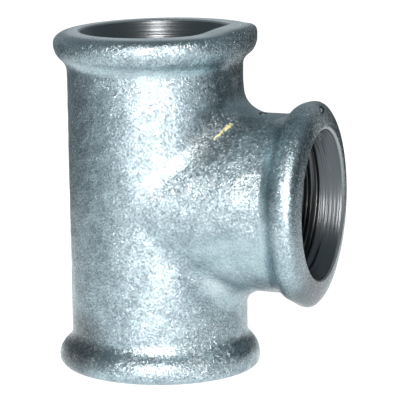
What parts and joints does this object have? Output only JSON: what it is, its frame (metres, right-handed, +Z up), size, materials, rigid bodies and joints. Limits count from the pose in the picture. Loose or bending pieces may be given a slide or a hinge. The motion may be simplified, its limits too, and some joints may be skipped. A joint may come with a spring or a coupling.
{
  "type": "galvanized pipe tee",
  "caption": "Cast iron pipe tee with a straight run and an equal side branch; each end has a rounded bead and an inside pipe thread.",
  "frame": {"origin": "the point where the axes of the run and the branch cross, from which pipe fitters give the reach of each end", "axes": "+Z up along the run, +X out along the branch; the tee stands on the lower end face of its run"},
  "size_m": [0.0525, 0.039, 0.066],
  "materials": {
    "galvanized_iron": "hot-dip galvanized rough casting, with bare cut threads"
  },
  "bodies": {
    "root": {"tee_body": "galvanized_iron"}
  },
  "joints": []
}
